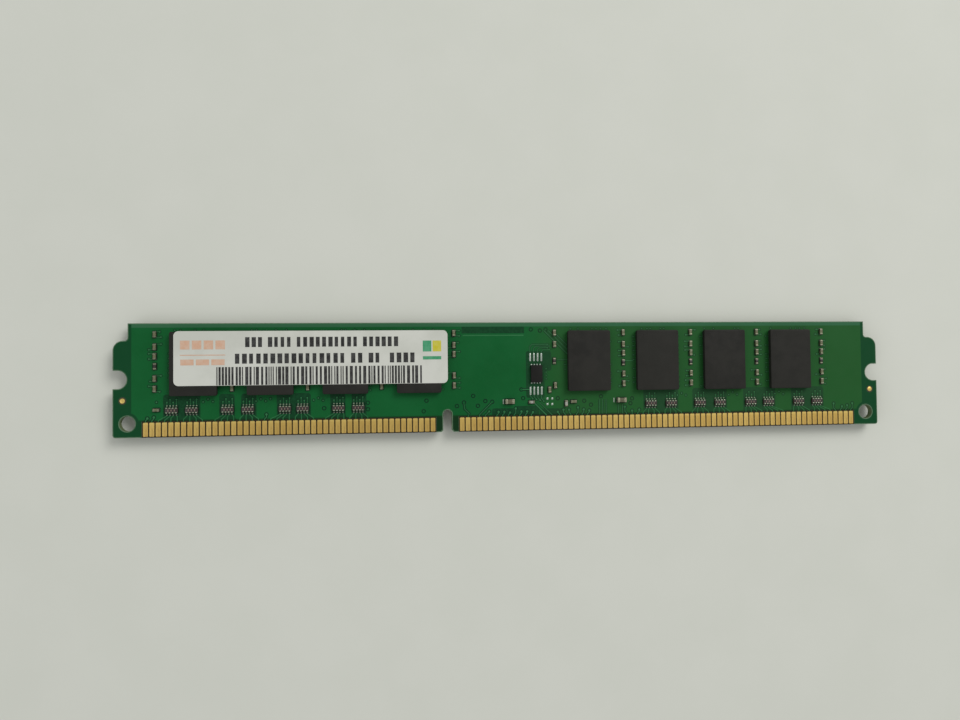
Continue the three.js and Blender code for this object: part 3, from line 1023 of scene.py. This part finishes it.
def resistor_array(pen, x, y):
    """Four resistors in one slab, with four metal ends along each long side."""
    slab_top, glaze_top, dot_top, end_top = 0.345, 0.36, 0.375, 0.385
    pen.place(x, y)
    shaded_clearance(pen, 2.3, 1.86, 0.15)
    pen.block(4 * ARRAY_PITCH, 0.84, SEAT, slab_top, 0.03, BODY_DARK)
    pen.block(1.92, 0.60, 0.33, glaze_top, 0.012, TOP_BLACK)
    for step in (-1, 0, 1):
        pen.place(x + step * ARRAY_PITCH, y)
        pen.block(0.17, 0.34, 0.34, dot_top, 0.012, BODY_BROWN, radius=0.05)
    for side in (-1, 1):
        for step in FOUR:
            end_x = x + step * ARRAY_PITCH
            pen.place(end_x, y + side * 0.385)
            pen.block(0.26, 0.21, SEAT / 2, end_top, 0.035, END_ARRAY, radius=0.05)
            pen.place(end_x, y, 90 * side).fillet(0.22, 0.48, 0.06, 0.12, SHADED_JOINT)
            pen.place(end_x, y + side * 0.74)
            # Painted shade: the lower pads take the dark joint solder, while the upper ones take the bright
            # tin.
            pen.pad(0.25, 0.19, 0.0, MASK_THICKNESS + 0.03, 0.02, END_ARRAY if side > 0 else SHADED_JOINT)


def make_arrays():
    for index, x in enumerate(ARRAY_XS):
        pen = Pen("front")
        resistor_array(pen, x, ARRAY_Y)
        pen.make(f"array_{index + 1}", PART_MATERIALS, "resistor_black", [f"resistor_array_{index + 1}"])


def make_configuration_chip():
    """A small leadless chip with four terminals along each short side."""
    x, y, _ = node_centre("configuration_chip")
    pen = Pen("front").place(x, y)
    pen.block(2.0, 3.0, SEAT, 0.55, 0.05, 0, radius=0.06)
    for side in (-1, 1):
        for step in FOUR:
            pen.place(x - 0.1 + step * 0.5, y + side * 1.56)
            pen.block(0.24, 0.28, 0.0, 0.17, 0.03, 1, radius=0.04)
    pen.make("configuration_part", [DARK_MOULD, SOLDER], "mould_compound", ["configuration_chip"])


def make_unused_pads():
    """Large empty pads above and below the configuration chip, and four small ones near the contacts."""
    x, _, _ = node_centre("configuration_chip")
    pads = Pen("front")
    for pad_y in EMPTY_PAD_YS:
        for step in FOUR:
            pads.place(x - 0.06 + step * EMPTY_PAD_PITCH, pad_y)
            pads.block(0.30, 1.42, 0.0, 0.075, 0.035, 0, radius=0.1)
    for pad_x in (72.05, 72.9):
        for pad_y in (4.5, 5.45):
            pads.place(pad_x, pad_y)
            pads.block(0.36, 0.36, 0.0, 0.06, 0.028, 0, radius=0.08)
    pads.make("unused_pads", [SOLDER], "solder")


def make_fiducials(side):
    """Two gold dots, each in a bare ring."""
    pen = Pen(side)
    bare, dot = 0.62, 0.40
    for x, y in ((1.55, 6.05), (BOARD_LENGTH - 1.42, 6.4)):
        pen.place(x, y).lathe([(bare, 0.0), (bare, BARE_TOP)], 1, 24)
        pen.lathe([(dot, 0.0), (dot, 0.03), (dot - 0.03, 0.04)], 0, 24)
    pen.make(f"{side}_fiducials", [GOLD, BARE_GLASS], "gold_contacts")


# ================= traces and vias =================


TRACE_MATERIALS = [MASK_ON_COPPER, MASK_GAP, SOLDER, MASK, MASK_ON_GLASS]
TRACE, GAP, BARE, PLANE, GLASS = range(5)


class Copper:
    """Traces and vias under the solder mask on one side."""

    def __init__(self, side):
        self.side = side
        self.pen = Pen(side)

    def trace(self, path, width=0.14, clear=0.15):
        """A raised line with a dark clearance on both sides."""
        self.pen.place()
        if clear:
            self.pen.ribbon(path, width + 2 * clear, TRACE_LOW, GAP_TOP, GAP)
        self.pen.ribbon(path, width, TRACE_LOW, TRACE_TOP, TRACE)

    def clearing(self, points):
        """A dark area with no copper under the mask, inside an outline."""
        self.pen.place().stack(lambda inset: points, [(0, TRACE_LOW), (0, AREA_TOP)], GLASS)

    def rounded_clearing(self, x0, x1, y0, y1, radius):
        middle_x, middle_y = (x0 + x1) / 2, (y0 + y1) / 2
        outline = rounded(x1 - x0, y1 - y0, radius, 4)()
        self.clearing([(middle_x + x, middle_y + y) for x, y in outline])

    def skirt(self, x0, x1, left, right):
        """A clearing round arrays, whose sides curve outwards at the bottom by left and by right."""
        low, high, radius = CLEARING_LOW, 7.0, 0.5
        points = arc(x1 + right, low + right, right, 270, 180) if right else [(x1, low)]
        points += arc(x1 - radius, high - radius, radius, 0, 90)
        points += arc(x0 + radius, high - radius, radius, 90, 180)
        points += arc(x0 - left, low + left, left, 0, -90) if left else [(x0, low)]
        self.clearing(points)

    def via(self, x, y, radius=0.22, ring=0.0, slot=TRACE):
        """A domed ring with a small dimple, in a dark clearance as wide as ring."""
        self.pen.place(x, y)
        if ring:
            wide = radius + ring
            self.pen.lathe([(wide, TRACE_LOW), (wide, RING_TOP)], GAP, 20)
        profile = [(radius, TRACE_LOW), (radius - 0.02, VIA_TOP), (radius * 0.6, VIA_TOP)]
        profile += [(radius * 0.45, VIA_HOLE), (0.01, VIA_HOLE)]
        self.pen.lathe(profile, slot, 14)

    def keyhole(self, x, lean, top):
        """A contact's short trace up to a via, in a clearance of its own."""
        side = x + lean
        bend = [(x, 2.75), (side, 2.75 + abs(lean))] if lean else []
        self.trace([(x, INTO_CONTACT), *bend, (side, top)])
        self.via(side, top, 0.21, 0.15)

    def finish(self):
        self.pen.make(f"{self.side}_traces", TRACE_MATERIALS, "solder_mask")


def array_escapes(copper, used):
    """Each array's lines fan out to four contacts below and to a row of vias above it."""
    for x in ARRAY_XS:
        lean = 0.55 if x > BOARD_LENGTH / 2 else -0.55
        free = [c for c in CONTACT_XS if c not in used]
        targets = sorted(sorted(free, key=lambda c: abs(c - x - lean))[:4])
        for step, target in zip(FOUR, targets):
            start = x + step * ARRAY_PITCH
            drop = min(abs(target - start), 0.72)
            copper.trace([(start, 3.7), (start, 3.5), (target, 3.5 - drop), (target, INTO_CONTACT)], 0.13, 0)
            used.add(target)
            height = 5.72 + 0.45 * ((step + 1.5) % 2)
            copper.trace([(start, 5.1), (start, height)], 0.11, 0.09)
            copper.via(start, height, 0.15, 0.12)


def array_clearings(copper):
    """Round each pair of arrays there is no inner plane, so the mask looks darker."""
    wide_pair = 3.25
    outer = 1.35
    for left, right in zip(ARRAY_XS[::2], ARRAY_XS[1::2]):
        flare = 0.75 if right < BOARD_LENGTH / 2 else 0.0
        if right - left > wide_pair and flare:
            # A strip of plane comes down between the two.
            copper.skirt(left - outer, left + 1.15, flare, flare)
            copper.skirt(right - 1.1, right + outer, 0.0, flare)
        else:
            copper.skirt(left - outer, right + outer, flare, flare)


def configuration_clearing(copper):
    """Round the configuration chip and its unused pads, and wider beside the upper pads."""
    left, right, wide = 68.35, 71.6, 72.85
    low, middle, high = 5.6, 10.3, 13.75
    r = 0.4
    points = arc(right - r, low + r, r, -90, 0)
    points += arc(right + r, middle - r, r, 180, 90)
    points += arc(wide - r, middle + r, r, -90, 0)
    points += arc(wide - r, high - r, r, 0, 90)
    points += arc(left + r, high - r, r, 90, 180)
    points += arc(left + r, low + r, r, 180, 270)
    copper.clearing(points)


def contact_vias(copper, used, ranges):
    """In the ranges (first x, last x), each free contact ends in a via just above the mask's edge."""
    closest = 0.82
    last = 0.0
    for x in CONTACT_XS:
        if x in used or not any(low < x < high for low, high in ranges):
            continue
        lean = dice.choice([lean for lean in (-0.3, 0.0, 0.3) if x + lean - last > closest])
        last = x + lean
        copper.keyhole(x, lean, dice.choice((3.15, 3.3, 3.5, 3.85)))


def column_stubs(copper, xs, ys):
    """Each column part's pads run out to a via beside them."""
    for x in xs:
        for y in ys:
            for end in (-0.45, 0.45):
                way = dice.choice((-1, 1))
                out = x + way * dice.choice((0.75, 0.95))
                copper.trace([(x, y + end), (out, y + end)], 0.15, 0.08)
                copper.via(out, y + end, 0.17, 0.1)


def via_row(copper, x0, x1, low, pitch=0.78):
    """A staggered row of small vias."""
    for index in range(int((x1 - x0) / pitch)):
        copper.via(x0 + index * pitch, low + 0.38 * (index % 2) + dice.uniform(-0.05, 0.05), 0.15, 0.12)


def fan_out(copper, lines_at=None, between=(0, 0)):
    """Small vias round the memory chips, but none at x = lines_at where lines pass between two heights."""
    above = 17.58
    for x in CHIP_XS:
        for step in range(-4, 5):
            if dice.random() < 0.5:
                copper.via(x + BALL_PITCH * step + dice.uniform(-0.15, 0.15), above, 0.14, 0.1)
        for side in (-1, 1):
            for step in range(BALL_ROWS - 1):
                height = CHIP_LOW_Y + 0.6 + BALL_PITCH * step
                passed = x + side * VIA_REACH == lines_at and between[0] < height < between[1]
                if dice.random() < 0.45 and not passed:
                    copper.trace([(x + side * 3.6, height), (x + side * 4.05, height)], 0.11, 0.08)
                    copper.via(x + side * VIA_REACH, height, 0.13, 0.09)


def plane_vias(copper, spots):
    """Vias in the plane itself, which have its colour."""
    for x, y in spots:
        copper.via(x, y, 0.22, 0.16, PLANE)


def part_number_panel(copper):
    """The dark strip near the top edge, left blank, with a pale line under it."""
    copper.rounded_clearing(57.2, 68.1, 16.85, 18.0, 0.06)
    copper.trace([(57.4, 16.5), (68.0, 16.5)], 0.2, 0)


def contact_lines(copper):
    """Lines from three contacts right of the key notch, and three below the configuration chip."""
    copper.trace([(57.5, 4.8), (57.6, 3.9), (58.4, 3.1), (58.175, CONTACT_HIGH)])
    copper.trace([(60.175, CONTACT_HIGH), (60.175, 2.85), (62.25, 4.9)])
    copper.trace([(61.175, CONTACT_HIGH), (61.175, 2.75), (61.85, 3.4)])
    copper.via(61.85, 3.4, 0.2, 0.15)
    copper.trace([(67.7, 7.1), (69.0, 7.1)], 0.2)
    copper.trace([(69.8, 4.7), (71.9, 2.6)], 0.2, 0.1)
    copper.trace([(70.8, 4.7), (72.9, 2.6)], 0.12, 0.1)


def configuration_lines(copper):
    """Three diagonals beside the configuration chip, and a line from each of its unused pads."""
    for step in range(3):
        copper.trace([(71.6 + 0.75 * step, 17.3), (75.9, 13.0 + 0.75 * step)], 0.15, 0.12)
    for step in range(4):
        pad = 69.07 + EMPTY_PAD_PITCH * step
        rise = 13.6 + 0.3 * (3 - step)
        end = 72.2 + 0.3 * (step % 2)
        copper.trace([(pad, 13.3), (pad, rise), (pad + 0.4, rise + 0.4), (end, rise + 0.4)], 0.12, 0.08)
        copper.via(end, rise + 0.4, 0.13, 0.08)
        fall = 0.15 * step
        copper.trace([(pad, 6.2), (pad, 5.95 - fall), (pad + 0.4, 5.55 - fall)], 0.12, 0.1)
        copper.via(pad + 0.4, 5.5 - fall, 0.16, 0.12)


def right_hand_lines(copper):
    """Short lines right of the middle, and a narrow bare pad beside each bulk capacitor."""
    copper.trace([(73.9, 12.2), (75.9, 12.2)], 0.13, 0.08)
    copper.trace([(85.95, 11.95), (87.5, 11.95)], 0.2, 0.05)
    for x, top in ((81.3, 5.2), (81.9, 5.2), (82.5, 5.2), (84.7, 4.3), (85.45, 4.3)):
        copper.trace([(x, 2.7), (x, top)], 0.13, 0.12)
    for x in (64.32, 83.93):
        copper.pen.place(x, 5.05).pad(0.16, 0.82, TRACE_LOW, TRACE_TOP + 0.01, 0.01, BARE, radius=0.05)


def make_front_copper():
    copper = Copper("front")
    used = {58.175, 60.175, 61.175, 70.175, 71.175, 72.175, 73.175}
    array_clearings(copper)
    configuration_clearing(copper)
    for height in (10.65, 10.05, 9.5, 8.9):
        copper.via(71.9, height, 0.13, 0.09)
    for x0, x1, top in ((62.3, 66.4, 3.9), (66.5, 70.6, 4.25), (70.7, 75.2, 3.75)):
        copper.rounded_clearing(x0, x1, CLEARING_LOW, top, 0.4)
    array_escapes(copper, used)
    contact_vias(copper, used, [(4.0, 8.0), (24.0, 26.0), (62.5, 80.0), (86.0, 88.5), (123.0, 130.0)])
    plane_vias(copper, PLANE_VIAS)
    contact_lines(copper)
    configuration_lines(copper)
    right_hand_lines(copper)
    part_number_panel(copper)
    capacitor_ys = [y for y in COLUMN_YS if y not in RESISTOR_YS]
    column_stubs(copper, [COLUMN_XS[0], COLUMN_XS[4], *COLUMN_XS[6:]], capacitor_ys)
    fan_out(copper, CHIP_XS[4] - VIA_REACH, (12.0, 15.6))
    for x0, x1 in VIA_ROWS:
        via_row(copper, x0, x1, 5.75)
    copper.finish()


def bundle(copper, x0, x1, low):
    """Six parallel lines that step up together at 45 degrees, each ending in a via."""
    pitch = 0.36
    rise = 1.2
    for step in range(6):
        height = low + pitch * step
        # The bend moves left a little from line to line, so that the slanted parts keep the same pitch.
        bend = x0 + 3.5 - pitch * step * math.tan(math.radians(22.5))
        inset = 0.5 * (step % 2)
        top = height + rise
        path = [(x0 + inset, height), (bend, height), (bend + rise, top), (x1 - inset, top)]
        copper.trace(path, 0.14, 0.09)
        for x, y in (path[0], path[-1]):
            copper.via(x, y, 0.15, 0.1)


def make_back_copper():
    copper = Copper("back")
    contact_vias(copper, set(), [(4.0, 53.0), (56.0, 130.0)])
    column_stubs(copper, COLUMN_XS, BACK_COLUMN_YS)
    fan_out(copper)
    via_row(copper, 8.0, 54.0, 5.3)
    via_row(copper, 75.0, 125.0, 5.3)
    plane_vias(copper, [(59.2 + 2.3 * step, 9.2 + dice.uniform(-0.8, 0.8)) for step in range(6)])
    bundle(copper, 57.5, 71.5, 12.5)
    copper.finish()


# ================= stage =================


def make_floor():
    """A wide square that lies a hair below the module's lowest faces."""
    half = 2.0
    data = bpy.data.meshes.new("floor")
    corners = [(-half, -half, 0), (half, -half, 0), (half, half, 0), (-half, half, 0)]
    data.from_pydata(corners, [], [(0, 1, 2, 3)])
    data.materials.append(floor_look())
    floor = bpy.data.objects.new("floor", data)
    bpy.context.scene.collection.objects.link(floor)
    floor.location.z = -0.00002


def make_camera():
    """Almost straight down, a little left of the middle, leaning 6.6 degrees to the right."""
    place = (-21.26, -0.68, 132.43)
    lean_back, lean_right, roll = 1.574, -6.557, -0.478
    data = bpy.data.cameras.new("camera")
    data.sensor_width = 36.0
    data.lens = 28.5
    data.clip_start = 0.005
    data.clip_end = 10.0
    camera = bpy.data.objects.new("camera", data)
    camera.location = Vector(place) * MM
    turn = Euler([math.radians(angle) for angle in (lean_back, lean_right, roll)], "ZYX")
    camera.rotation_euler = turn.to_matrix().to_euler()
    bpy.context.scene.collection.objects.link(camera)
    bpy.context.scene.camera = camera


def soft_light(name, place, size, power, colour):
    """A square soft box that faces the module."""
    data = bpy.data.lights.new(name, "AREA")
    data.size = size
    data.energy = power
    data.color = colour
    light = bpy.data.objects.new(name, data)
    light.location = place
    light.rotation_euler = Vector(place).to_track_quat("Z", "Y").to_euler()
    bpy.context.scene.collection.objects.link(light)


def make_lights():
    soft_light("key", (0.40, 0.44, 0.60), 0.45, 3.9, (1.0, 0.99, 0.96))
    soft_light("fill", (-0.55, -0.20, 0.50), 0.60, 0.8, (0.97, 0.99, 1.0))
    world = bpy.data.worlds.new("room")
    world.use_nodes = True
    background = next(n for n in world.node_tree.nodes if n.type == "BACKGROUND")
    background.inputs["Color"].default_value = (0.78, 0.79, 0.77, 1)
    background.inputs["Strength"].default_value = 0.66
    bpy.context.scene.world = world
    bpy.context.scene.view_settings.view_transform = "Standard"


make_camera()
make_board()
for face in ("front", "back"):
    make_mask(face)
    make_contacts(face)
    make_balls(face)
    for chip in range(1, len(CHIP_XS) + 1):
        make_chip(face, chip)
make_label()
make_barcode()
make_text_blocks()
make_accents()
make_named_parts()
make_extra_columns()
make_arrays()
make_configuration_chip()
make_unused_pads()
for face in ("front", "back"):
    make_fiducials(face)
make_front_copper()
make_back_copper()
make_floor()
make_lights()
